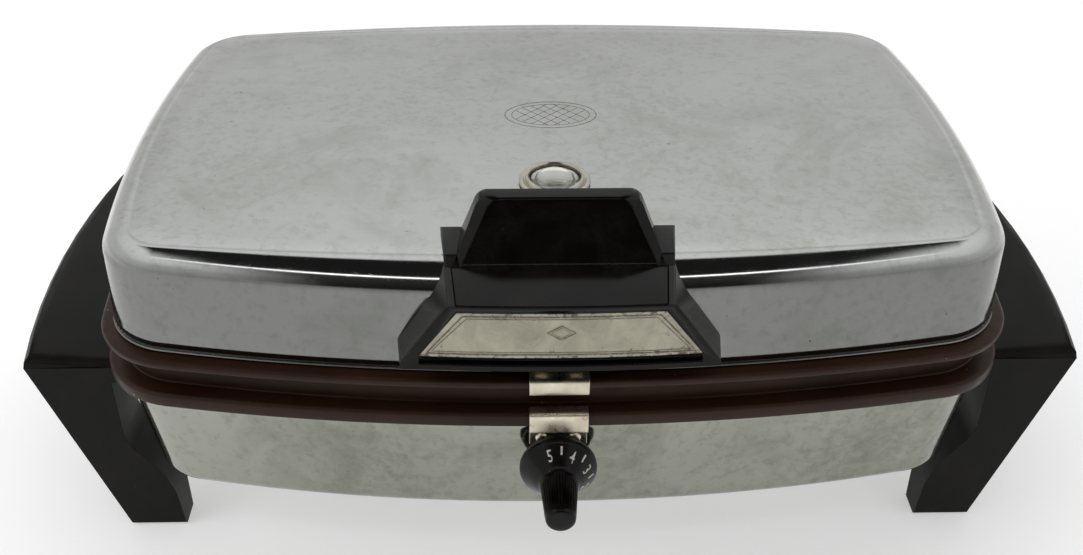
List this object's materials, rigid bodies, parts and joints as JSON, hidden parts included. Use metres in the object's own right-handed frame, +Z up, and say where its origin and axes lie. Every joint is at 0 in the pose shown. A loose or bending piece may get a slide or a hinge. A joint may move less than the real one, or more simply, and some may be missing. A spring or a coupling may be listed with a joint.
{
  "type": "waffle maker",
  "caption": "Clam-shell electric waffle maker in chrome, with brown coated grids held by spring clips, a rising hinge, a heat control knob, a signal lens and black side handles as legs",
  "frame": {"origin": "On the table, under the centre of the whole closed object", "axes": "+X to the user's right, along the longest side; +Y to the hinge at the rear; +Z up"},
  "size_m": [0.4186, 0.2704, 0.1696],
  "materials": {
    "chrome": "bright chromium plate on pressed steel, with dull stains and fine scratches",
    "nickel": "nickel plate, warm and scratched",
    "zinc_steel": "zinc-plated steel, dull",
    "brass": "turned brass, plain",
    "bright_tinplate": "bright tin-plated sheet steel",
    "black_bakelite": "black phenolic moulding with a soft sheen",
    "brown_coating": "brown non-stick coating on cast aluminium, satin",
    "heater_sheath": "oxidised steel sheath of a heating element",
    "ceramic": "unglazed steatite, matt",
    "clear_glass": "clear moulded glass",
    "amber_glass": "neon lamp envelope with an amber glow colour"
  },
  "bodies": {
    "base": {"base_bracket_left": "zinc_steel", "base_bracket_right": "zinc_steel", "base_bracket_rivet_left_1": "zinc_steel", "base_bracket_rivet_left_2": "zinc_steel", "base_bracket_rivet_right_1": "zinc_steel", "base_bracket_rivet_right_2": "zinc_steel", "bimetal_blade": "brass", "bottom_cover": "zinc_steel", "cover_screw_1": "zinc_steel", "cover_screw_2": "zinc_steel", "cover_screw_3": "zinc_steel", "cover_screw_4": "zinc_steel", "inlet_pin_left": "nickel", "inlet_pin_right": "nickel", "inlet_shroud": "black_bakelite", "left_side_handle": "black_bakelite", "lower_clip_rivet_left": "nickel", "lower_clip_rivet_right": "nickel", "lower_element": "heater_sheath", "lower_grid": "brown_coating", "lower_reflector": "bright_tinplate", "lower_shell": "chrome", "lower_terminal_front": "ceramic", "lower_terminal_rear": "ceramic", "right_side_handle": "black_bakelite", "shaft_bush": "brass", "side_handle_screw_1": "zinc_steel", "side_handle_screw_2": "zinc_steel", "side_handle_screw_3": "zinc_steel", "side_handle_screw_4": "zinc_steel", "thermostat_block": "ceramic", "thermostat_bracket": "zinc_steel"},
    "lid": {"upper_shell": "chrome", "lid_handle": "black_bakelite", "nameplate": "nickel", "lid_handle_screw_left": "zinc_steel", "lid_handle_screw_right": "zinc_steel", "lens_bezel": "chrome", "signal_lens": "clear_glass", "signal_lamp": "amber_glass", "lamp_holder": "zinc_steel", "upper_grid": "brown_coating", "upper_reflector": "bright_tinplate", "upper_element": "heater_sheath", "upper_terminal_front": "ceramic", "upper_terminal_rear": "ceramic", "hinge_arm_left": "zinc_steel", "hinge_arm_right": "zinc_steel", "hinge_arm_rivet_left_1": "zinc_steel", "hinge_arm_rivet_left_2": "zinc_steel", "hinge_arm_rivet_right_1": "zinc_steel", "hinge_arm_rivet_right_2": "zinc_steel", "upper_clip_rivet_left": "nickel", "upper_clip_rivet_right": "nickel"},
    "knob": {"control_knob": "black_bakelite", "knob_shaft": "brass"},
    "hinge_slide": {"hinge_pin": "zinc_steel"},
    "lower_clip": {"lower_grid_clip": "nickel"},
    "upper_clip": {"upper_grid_clip": "nickel"}
  },
  "joints": [
    {"name": "hinge_lift", "type": "slide", "parent": "base", "child": "hinge_slide", "axis": [0, 0, 1], "range_m": [0, 0.008]},
    {"name": "lid_hinge", "type": "hinge", "parent": "hinge_slide", "child": "lid", "pos_m": [0, 0.1277, 0.085], "axis": [-1, 0, 0], "range_deg": [0, 180]},
    {"name": "knob_turn", "type": "hinge", "parent": "base", "child": "knob", "pos_m": [0, -0.105, 0.072], "axis": [0, -1, 0], "range_deg": [0, 270]},
    {"name": "lower_clip_release", "type": "hinge", "parent": "base", "child": "lower_clip", "pos_m": [0, -0.1027, 0.082], "axis": [1, 0, 0], "range_deg": [0, 8], "stiffness_Nm_per_rad": 0.6, "springref_deg": -4.58},
    {"name": "upper_clip_release", "type": "hinge", "parent": "lid", "child": "upper_clip", "pos_m": [0, -0.1, 0.1165], "axis": [-1, 0, 0], "range_deg": [0, 8], "stiffness_Nm_per_rad": 0.6, "springref_deg": -4.58}
  ]
}
